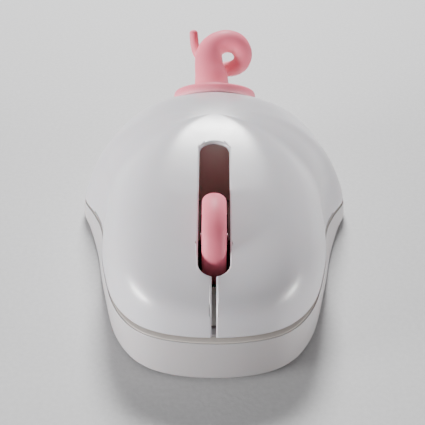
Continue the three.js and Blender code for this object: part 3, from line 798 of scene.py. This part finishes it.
def rays_to_edge(dome, ends, beside_split):
    """Surface lines from the crown to edge points. Their steps are even, but beside the split
    they take the steps of its last line."""
    rays = []
    for i, end in enumerate(ends):
        away = end - CROWN
        length = travelled(dome.above(CROWN + np.outer(LATE, away)))
        hub = np.interp(beside_split[HUB_RINGS - 1], LATE, length)
        wanted = np.concatenate([
            np.linspace(0, hub, HUB_RINGS + 1)[1:],
            np.linspace(hub, length[-1] - LAST_STEP, len(beside_split) - HUB_RINGS)[1:],
            length[-1:]])
        even = np.interp(wanted, length, LATE)
        share = smoothstep(0, 0.2, min(i + 1, len(ends) - i) / len(ends))
        steps = beside_split + (even - beside_split) * share
        rays.append(dome.above(CROWN + np.outer(steps, away)))
    return rays


def rays_to_slot(dome, thin):
    """Surface lines from the crown to the slot's rear end, where the sheet rises by thin."""
    rays = []
    arc = slot_rear(33)[1:-1]
    for i, end in enumerate(arc):
        line = dome.above(CROWN + np.outer(LATE, end - CROWN))
        ray = respace(line, HUB_RINGS + 2, 1.0, LAST_STEP)[1:]
        corner = smoothstep(0, 0.15, min(i + 1, len(arc) - i) / len(arc))
        ray[:, 2] += thin * corner * smoothstep(0.7, 0.95, np.arange(len(ray)) / (len(ray) - 1))
        rays.append(ray)
    return rays


def between_rays(a, count_a, b, count_b):
    """Faces between two neighbouring lines whose points start at a and b. One of them may have
    a point more, just before its narrow last step."""
    same = count_a == count_b
    shared = min(count_a, count_b) - (1 if same else 2)
    faces = [(a + k, a + k + 1, b + k + 1, b + k) for k in range(shared)]
    if same:
        return faces
    a_near, b_near = a + count_a - 2, b + count_b - 2
    extra = (b if count_b > count_a else a) + shared
    return faces + [(a_near, b_near, extra), (a_near, a_near + 1, b_near + 1, b_near)]


def make_cover():
    """The rear of the top: lines that fan out from the crown to the edge, the split and the
    slot's rear end."""
    rear_edge = palm_edge(170)

    def all_rays(dome, thin=0.0):
        half, steps = rays_to_split(dome)
        mirrored = [ray * [-1, 1, 1] for ray in half]
        rear = rays_to_edge(dome, shrunk(rear_edge, dome)[1:-1], steps)
        return rear + half[::-1] + rays_to_slot(dome, thin) + mirrored

    outer = all_rays(COVER)
    counts = [len(ray) for ray in outer]
    starts = [1 + sum(counts[:i]) for i in range(len(counts))]
    faces = []
    for i, start in enumerate(starts):
        j = (i + 1) % len(starts)
        faces.append((0, start, starts[j]))
        faces += between_rays(start, counts[i], starts[j], counts[j])
    on_rear = len(rear_edge) - 2
    on_slot = len(starts) - SPLIT_POINTS
    split_rays = [*range(on_rear, on_rear + SPLIT_POINTS), *range(on_slot, len(starts))]
    joined = {starts[i] + counts[i] - 1 for i in split_rays}
    inner = all_rays(Dome(WALL), LIP_THIN)
    cover = thick_sheet("palm_cover", np.vstack([COVER.above(CROWN), *outer]),
                        np.vstack([Dome(WALL).above(CROWN), *inner]), faces, joined)
    stem_hole = tool(*tail_post(STEM_R + CLEAR, [(0, -6), (0, 4)]))
    combine(cover, [stem_hole], "DIFFERENCE")
    settle(cover, "pearl_shell", "case", ["top_cover"])


def make_key(name, side):
    """One key: a grid from the slot's edge out to the seam and from the slit to the split. It
    is laid out on the -X side and mirrored for the other."""
    across, around = SPLIT_POINTS, 84
    turn = np.linspace(-np.pi / 2 - math.asin(SLIT_HALF / SLOT_HALF), -np.pi, 12)
    end_y = SLOT_FRONT_Y + SLOT_FRONT_END
    tip = np.column_stack([SLOT_HALF * np.cos(turn), end_y + SLOT_FRONT_END * np.sin(turn)])
    straight = np.linspace((-SLOT_HALF, end_y), (-SLOT_HALF, SPLIT_Y), 60)
    slot_side = even(np.vstack([tip, straight[1:]]), around)

    def rows_on(dome):
        seam = shrunk(key_edge(around), dome)
        seam[0, 0] = -SLIT_HALF
        seam[-1, 1] = SPLIT_Y
        share = LATE[:, None]
        plan = slot_side[:, None] * (1 - share) + seam[:, None] * share
        rows = np.array([respace(dome.above(line), across, LAST_STEP, LAST_STEP)
                         for line in plan])
        rows[-1] = dome.above(split_line(dome))
        near_slit = rows[0] + (rows[1] - rows[0]) * 0.6
        near_split = rows[-1] + (rows[-2] - rows[-1]) * NEAR
        return np.array([rows[0], near_slit, *rows[1:-1], near_split, rows[-1]])

    outer, inner = rows_on(COVER), rows_on(Dome(WALL))
    faces = grid_faces(len(outer), across)
    joined = set(range((len(outer) - 1) * across, len(outer) * across))
    outer, inner = outer.reshape(-1, 3), inner.reshape(-1, 3)
    if side > 0:
        outer, inner = outer * [-1, 1, 1], inner * [-1, 1, 1]
        faces = [face[::-1] for face in faces]
    piece = thick_sheet(f"{name}_key", outer, inner, faces, joined)
    settle(piece, "pearl_shell", None, [f"{name}_button"])
    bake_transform(piece)


# ---- base
INSIDE_WALL = WALL * 0.7   # how deep bosses and ribs reach into the wall they hang from
CASE_SCREWS = [(-21.5, 1.8), (21.5, 1.8), (-14.5, 36.4), (14.5, 36.4)]
SCREW_WELL_R = 2.6
DOOR_HALF = 25.5
DOOR_Y = 7.6, 31.8
DOOR_T = 1.5
GROOVE_DEPTH = 0.5
STRIP_T = 0.63, 0.50       # the seam strip's height in front and elsewhere
AROUND = slice(None, None, 2)
GAP = across_front(EDGE[AROUND], FRONT_GAP, SIDE_GAP)


def base_ring(inset, heights, from_cover=False):
    """A ring round the body, in from the base's outline or the cover's; heights is one height
    or one for each point."""
    push = inset + (LEDGE[AROUND] if from_cover else 0)
    push = push + thumb_recess(EDGE_NORMAL[AROUND, 0], EDGE[AROUND, 1], heights)
    return at_height(EDGE[AROUND] - EDGE_NORMAL[AROUND] * push[:, None], heights)


def above_seam(rise):
    return seam_z(EDGE[AROUND, 1]) + rise


def base_openings():
    """Cutters for sensor, power switch, batteries, receiver and screws."""
    floor = flared(BOTTOM_Z, FLOOR_Z + 1)
    cutters = [
        plate(-5, 5, -14, -2, 2.5, floor),
        plate(4.4, 12.6, -22, -18, 1.5, floor),
        plate(-DOOR_HALF, DOOR_HALF, *DOOR_Y, 0.8, floor),
        plate(-9.6, 9.6, 33.0, 39.4, 0.5, floor),
    ]
    cutters += [post(x, y, SCREW_WELL_R, floor) for x, y in CASE_SCREWS]
    return [tool(*cutter) for cutter in cutters]


def make_base():
    """The tray: its rounded bottom edge, side, shoulder, strip groove, locating lip and floor."""
    rim = above_seam(0) - GAP
    bed = rim - GROOVE_DEPTH
    below_lip = np.maximum(above_seam(-LIP_DEPTH), FLOOR_Z + CLEAR)
    lip_out, lip_in, lip_top = WALL + CLEAR, WALL + CLEAR + LIP_T, above_seam(LIP_HEIGHT)
    chamfer, side_low = 0.2, BOTTOM_Z + EDGE_R
    rings = [base_ring(inset, z)
             for inset, z in rounding(BOTTOM_Z, side_low, EDGE_R, 0, 6)[:-1]]
    rings += [base_ring(0, side_low + (rim - 0.2 - side_low) * share)
              for share in np.linspace(0, 1, 12)[1:-1]]
    rings += [base_ring(inset, rim + drop) for inset, drop in rounding(-0.2, 0, 0, 0.16)]
    rings += [base_ring(0.20, rim), base_ring(0.22, bed)]
    rings += [base_ring(inset, z, True) for inset, z in (
        (lip_out, bed), (lip_out, above_seam(LIP_HEIGHT - chamfer)), (lip_out + chamfer, lip_top),
        (lip_in - chamfer, lip_top), (lip_in, above_seam(LIP_HEIGHT - chamfer)),
        (lip_in, below_lip))]
    rings += [base_ring(BASE_WALL, below_lip - chamfer), base_ring(BASE_WALL, FLOOR_Z)]
    base = combine(tool(*loft(rings)), base_openings(), "DIFFERENCE")
    complete("base_tray", base, "white_base", nodes=["base_shell"])


def make_seam_strip():
    """The cream strip that fills the joint between the base and the cover."""
    bed = above_seam(0) - GAP - GROOVE_DEPTH + 0.05
    top = bed + across_front(EDGE[AROUND], *STRIP_T)
    rings = [base_ring(0.34, bed), base_ring(0.34, top - 0.12),
             base_ring(0.38, top - 0.03), base_ring(0.46, top),
             base_ring(WALL + 0.1, top, True), base_ring(WALL + 0.1, bed, True)]
    add_piece("seam_strip", loft(rings, hoop=True), "inner_white", material=STRIP)


def make_base_fittings():
    """The screw bosses, board posts, battery tray and receiver pocket that stand on the floor."""
    source = frame["nodes"]["base_shell"]
    piece = linked("base_fittings", source.data.copy())
    core = [base_ring(3.6, z) for z in (FLOOR_Z + 0.02, 14)]
    combine(piece, [tool(*loft(core))], "INTERSECT")
    complete("base_fittings", piece, "inner_white", nodes=["base_shell"], sharp_angle=30)


def make_battery_door():
    wall = rounding(BOTTOM_Z, BOTTOM_Z + DOOR_T, 0.25, 0.15)
    door = tool(*plate(CLEAR - DOOR_HALF, DOOR_HALF - CLEAR, DOOR_Y[0] + CLEAR,
                       DOOR_Y[1] - CLEAR, 1.0, wall))
    grooves = [tool(*plate(-6, 6, y, y + 0.8, 0.39, flared(BOTTOM_Z, BOTTOM_Z + 0.4, 0.12)))
               for y in (10, 12, 14)]
    combine(door, grooves, "DIFFERENCE")
    complete("door_panel", door, "white_base", "battery_door", ["battery_door"])


def make_feet():
    for node in ("front_foot_left", "front_foot_right", "rear_foot_left", "rear_foot_right"):
        low, high = box_mm(node)
        wall = rounding(low[2], high[2], 0.2, 0)
        add_piece(f"{node}_pad", plate(low[0], high[0], low[1], high[1], 2.4, wall),
                  "slip_plastic", nodes=[node])


def make_power_knob():
    low, high = box_mm("power_knob")
    wall = rounding(low[2], high[2], 0.2, 0.1)
    knob = tool(*plate(low[0], high[0], low[1], high[1], 0.35, wall))
    ridges = [tool(*plate(x - 0.2, x + 0.2, low[1] - 1, high[1] + 1, 0.1,
                          flared(low[2], low[2] + 0.35, 0.05)))
              for x in np.linspace(low[0], high[0], 6)[1:-1]]
    combine(knob, ridges, "DIFFERENCE")
    complete("knob_ridged", knob, "black_plastic", "power_knob", ["power_knob"])


def make_cells():
    """The two cells: a rolled jacket with a bright end disc and nose."""
    for number in (1, 2):
        low, high = box_mm(f"battery_{number}")
        y, z, radius = (low[1] + high[1]) / 2, (low[2] + high[2]) / 2, (high[2] - low[2]) / 2
        nose = 1.0
        ends = (low[0], high[0] - nose) if number == 1 else (low[0] + nose, high[0])
        end = [(0.2, 0), (0.2, radius - 1.0), (0, radius - 0.8), (0, radius - 0.4), (0.4, radius)]
        jacket = [(ends[0] + inset, r) for inset, r in end]
        jacket += [(ends[1] - inset, r) for inset, r in end[::-1]]
        add_piece(f"cell_{number}_jacket", turned(jacket, y, z, 72), "cell_wrap",
                  nodes=[f"battery_{number}"])
        away, start = (1, ends[1]) if number == 1 else (-1, ends[0])
        disc_and_nose = [(-0.15, 0), (-0.15, 2.6), (-0.05, 2.7), (0, 2.0), (nose - 0.2, 1.9),
                         (nose, 1.7), (nose, 0)]
        profile = [(start + away * out, r) for out, r in disc_and_nose]
        add_piece(f"cell_{number}_nose", turned(profile, y, z, 48), "steel",
                  nodes=[f"battery_{number}"])


def make_cover_bosses():
    """Screw bosses under the palm, each with a blind hole."""
    roof = Dome(INSIDE_WALL)
    for number, (x, y) in enumerate(CASE_SCREWS, 1):
        def ring(radius, z=None, drop=0.0):
            plan = circle(x, y, radius, 40)
            return at_height(plan, roof.above(plan)[:, 2] - drop if z is None else z)
        shape = loft([ring(1.4, 12), ring(1.4, 6.6), ring(1.7, 6.3), ring(2.6, 6.3), ring(2.9, 6.6),
                      ring(2.9, drop=1.6), ring(3.1, drop=0.8), ring(3.6)])
        add_piece(f"cover_boss_{number}", shape, "pearl_shell")


def make_key_ribs():
    """The rib under each key that presses its switch."""
    roof = Dome(INSIDE_WALL)
    for name in ("left", "right"):
        low, high = box_mm(f"{name}_switch_plunger")
        x, y, tip = (low[0] + high[0]) / 2, (low[1] + high[1]) / 2, high[2] + 0.1
        flat = rounded_rectangle(x - 1.6, x + 1.6, y - 1, y + 1, 0.3)
        inner = rounded_rectangle(x - 1.45, x + 1.45, y - 0.85, y + 0.85, 0.15)
        shape = loft([at_height(inner, tip), at_height(flat, tip + 0.15),
                      at_height(flat, roof.above(flat)[:, 2])])
        add_piece(f"{name}_key_rib", shape, "pearl_shell", f"{name}_button")


# ---- scroll wheel group
WHEEL_LOW, WHEEL_HIGH = box_mm("scroll_tyre")
WHEEL_Y = (WHEEL_LOW[1] + WHEEL_HIGH[1]) / 2
WHEEL_Z = (WHEEL_LOW[2] + WHEEL_HIGH[2]) / 2
WHEEL_R = (WHEEL_HIGH[2] - WHEEL_LOW[2]) / 2
TYRE_CROWN = 1.9
WELL_HALF = 5.4
WELL_WALL = 1.0
WELL_FRONT_Y = -43.0
WELL_REAR_Y = -6.0
WELL_REAR_R = 9.0
WELL_BOTTOM_Z = box_mm("wheel_well")[0][2]
OVER_ALL_Z = 45.0
UNDER_COVER = WALL + 0.9      # insets of the domes that trim the well, its fin and its rear top
FIN_INSET = WALL + 0.72
REAR_TOP_INSET = 0.92
FIN_FACES_Y = -43.1           # faces ahead of this belong to the fin


def make_tyre():
    profile = [(-WHEEL_HALF, HUB_R), (-WHEEL_HALF, WHEEL_R - TYRE_CROWN)]
    for turn in np.radians(np.linspace(-90, 90, 19))[1:-1]:
        radius = WHEEL_R - TYRE_CROWN + TYRE_CROWN * math.cos(turn)
        profile.append((WHEEL_HALF * math.sin(turn), radius))
    profile += [(WHEEL_HALF, WHEEL_R - TYRE_CROWN), (WHEEL_HALF, HUB_R)]
    add_piece("tyre", turned(profile, WHEEL_Y, WHEEL_Z, 128, hoop=True), "pink_rubber",
              "scroll_wheel", ["scroll_tyre"])


def make_hub():
    """A hub with a dished web on each side and its axle."""
    axle_r, rim, web = 1.2, 2.4, 0.7
    low, high = box_mm("scroll_hub")
    side = [(rim - 0.2, HUB_R - 0.02), (rim, HUB_R - 0.2), (rim, 6.4), (rim - 0.2, 6.2),
            (web, 6.2), (web, 2.3), (rim - 0.2, 2.2), (rim, 2.0), (rim, axle_r)]
    profile = [(low[0], 0), (low[0], axle_r - 0.2), (low[0] + 0.2, axle_r)]
    profile += [(-x, r) for x, r in side[::-1]] + side
    profile += [(high[0] - 0.2, axle_r), (high[0], axle_r - 0.2), (high[0], 0)]
    add_piece("hub", turned(profile, WHEEL_Y, WHEEL_Z, 96), "pink_plastic",
              "scroll_wheel", ["scroll_hub"])


def box(x0, x1, y0, y1, z0, z1):
    """A plain block, to cut or to join."""
    return tool(*loft([[(x0, y0, z), (x1, y0, z), (x1, y1, z), (x0, y1, z)] for z in (z0, z1)]))


def well_side(inset):
    """Side view of the wheel well as y and z, with a hollow-curved rear wall."""
    turn = np.radians(np.linspace(-90, 0, 25))
    radius, front = WELL_REAR_R - inset, WELL_FRONT_Y + inset
    rear = np.column_stack([WELL_REAR_Y - WELL_REAR_R + radius * np.cos(turn),
                            WELL_BOTTOM_Z + WELL_REAR_R + radius * np.sin(turn)])
    return np.vstack([[[front, WELL_BOTTOM_Z + inset]], rear,
                      [[WELL_REAR_Y - inset, OVER_ALL_Z], [front, OVER_ALL_Z]]])


def across_block(side_view, x0, x1):
    """A side view pushed through from x0 to x1."""
    return loft([np.column_stack([np.full(len(side_view), x), side_view]) for x in (x0, x1)])


def make_wheel_well():
    """The housing round the wheel, open for the carrier, the axle, the encoder and the slit."""
    room = WELL_HALF - WELL_WALL
    well = tool(*across_block(well_side(0), -WELL_HALF, WELL_HALF))
    cutters = [tool(*across_block(well_side(WELL_WALL), -room, room)),
               box(-room, room, -40.5, -17, 10, 16),
               box(-6, -4, WHEEL_Y - 2, WHEEL_Y + 2, 10, WHEEL_Z + 1.7),
               box(4, 6, -36.2, -25.4, 10, 21),
               box(-room, room, -44, -41, FIN_TOP_Z, OVER_ALL_Z)]
    combine(well, cutters, "DIFFERENCE")
    combine(well, [tool(*Dome(UNDER_COVER).solid())], "INTERSECT")
    fin = box(-2.2, 2.2, -48, -42.5, WELL_BOTTOM_Z + 0.2, FIN_TOP_Z)
    combine(fin, [tool(*Dome(FIN_INSET).solid())], "INTERSECT")
    rear_top = box(-2.9, 2.9, -7.1, -6.05, 28, OVER_ALL_Z)
    combine(rear_top, [tool(*Dome(REAR_TOP_INSET).solid())], "INTERSECT")
    combine(well, [fin, rear_top], "UNION")
    complete("wheel_guard", well, "inner_white", nodes=["wheel_well"])
    well.data.materials.append(FIN)
    for face in well.data.polygons:
        if face.center.y < FIN_FACES_Y * MM:
            face.material_index = 1


# ---- tail
def from_tail(local):
    """Points given across, behind and up along the tail's own axis, in the common frame."""
    tilt = math.radians(TAIL_TILT)
    origin = COVER.above([0, TAIL_Y])[0]
    behind, up = (0, math.cos(tilt), -math.sin(tilt)), (0, math.sin(tilt), math.cos(tilt))
    return origin + local @ np.array([(1, 0, 0), behind, up])


def tail_post(radius, wall):
    """A round post along the tail's axis."""
    points, faces = post(0, 0, radius, wall)
    return from_tail(points), faces


def height_of(dome, across, behind):
    """How far up the tail's axis a dome lies beside it."""
    low, high = np.full(across.shape, -14.0), np.full(across.shape, 14.0)
    for _ in range(32):
        middle = (low + high) / 2
        place = from_tail(np.column_stack([across, behind, middle]))
        inside = place[:, 2] < dome.above(place[:, :2])[:, 2]
        low, high = np.where(inside, middle, low), np.where(inside, high, middle)
    return (low + high) / 2


def flange_shape():
    """A disc that follows the cover, with a rounded rim."""
    under, over = Dome(-FLANGE_LIFT), Dome(-CLEAR - FLANGE_T)
    rim_r = 0.8

    def ring(radius, share):
        across, behind = circle(0, 0, radius, 120).T
        bottom, top = height_of(under, across, behind), height_of(over, across, behind)
        up = (top + bottom) / 2 + share * (top - bottom) / 2
        return from_tail(np.column_stack([across, behind, up]))

    rings = [ring(radius, 1) for radius in np.linspace(0.5, FLANGE_R - rim_r, 9)]
    for a in np.radians(np.linspace(80, -80, 11)):
        out = math.cos(a) ** 0.7
        share = math.copysign(abs(math.sin(a)) ** 0.7, math.sin(a))
        rings.append(ring(FLANGE_R - rim_r + rim_r * out, share))
    rings += [ring(radius, -1) for radius in np.linspace(FLANGE_R - rim_r, 0.5, 9)]
    return loft(rings)


def curl_shape():
    """The curled tail: a tapering round sweep with a spread root and a rounded tip."""
    tip_steps, root_spread, root_height = 7, 0.5, 0.9
    path = even(catmull_rom(CURL, 40, closed=False), 170)
    centres = path[:, [0, 2, 1]]
    radii = path[:, 3] + root_spread * np.exp(-((path[:, 1] - FLANGE_T) / root_height) ** 2)
    along = np.gradient(centres, axis=0)
    along /= np.linalg.norm(along, axis=1)[:, None]
    end_r = radii[-1]
    turn = np.linspace(0, np.pi / 2, tip_steps + 1)[1:] * 0.97
    centres = np.vstack([centres, centres[-1] + np.outer(end_r * 0.85 * np.sin(turn), along[-1])])
    radii = np.concatenate([radii, end_r * np.cos(turn)])
    along = np.vstack([along, np.repeat(along[-1:], tip_steps, axis=0)])
    out = np.array([0, 1, 0])
    round_out, round_side = circle(0, 0, 1, 32).T
    rings = []
    for centre, radius, forward in zip(centres, radii, along):
        out = out - forward * np.dot(out, forward)
        out /= np.linalg.norm(out)
        side = np.cross(forward, out)
        section = np.outer(round_out, out) + np.outer(round_side, side)
        rings.append(from_tail(centre + radius * section))
    return loft(rings)


def make_tail():
    tail = tool(*flange_shape())
    stem = tail_post(STEM_R, [(0.3, -5.5), (0, -5.2), (0, 1.5)])
    combine(tail, [tool(*curl_shape()), tool(*stem)], "UNION")
    # The tail's rubber carries painted light where the curl shades itself.
    complete("curled_tail", tail, "pink_rubber", "case", ["tail"], TAIL_RUBBER_PAINTED_LIGHT, 50)


# ---- pieces refined from the CAD
def make_wheel_spring():
    """The coil under the wheel carrier, on a mesh of its own."""
    spring = refine("wheel_spring", "steel", width=0.02)
    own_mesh(spring)


def refine_fittings():
    """CAD pieces seen through the openings, with rounded edges."""
    # The carrier takes a near-black painted shade for the gaps beside the wheel.
    refine("wheel_carrier", "inner_white", "wheel_carrier", material=CARRIER_PAINTED_SHADE)
    make_wheel_spring()
    for number in range(1, 5):
        refine(f"case_screw_{number}", "steel", width=0.1)
    refine("receiver_head", "black_plastic", "receiver", 0.3)
    refine("receiver_plug", "steel", "receiver", 0.12)
    for name in ("left", "right", "middle"):
        refine(f"{name}_switch_body", "black_plastic", width=0.2)
        refine(f"{name}_switch_plunger", "red_plastic", f"{name}_plunger")
    for node in ("power_switch_body", "encoder_body", "sensor_chip", "controller_chip",
                 "board_header"):
        refine(node, "black_plastic")
    refine("sensor_lens", "clear_lens")
    refine("sensor_led", "red_plastic", width=0.3)
    refine("crystal", "steel", width=0.3)


def finish_cad_nodes():
    """Every CAD node takes its slot's material, shown or not."""
    slots = {entry["node"]: entry["material_slot"] for entry in frame["record"]["subparts"]}
    for name, node in frame["nodes"].items():
        node.data.materials.clear()
        node.data.materials.append(MATERIALS[slots[name]])


# ---- the scene
add_camera()
add_studio()
add_floor()
make_cover()
make_key("left", 1)
make_key("right", -1)
make_cover_bosses()
make_key_ribs()
make_base()
make_seam_strip()
make_base_fittings()
make_battery_door()
make_feet()
make_power_knob()
make_cells()
make_tyre()
make_hub()
make_wheel_well()
make_tail()
refine_fittings()
finish_cad_nodes()
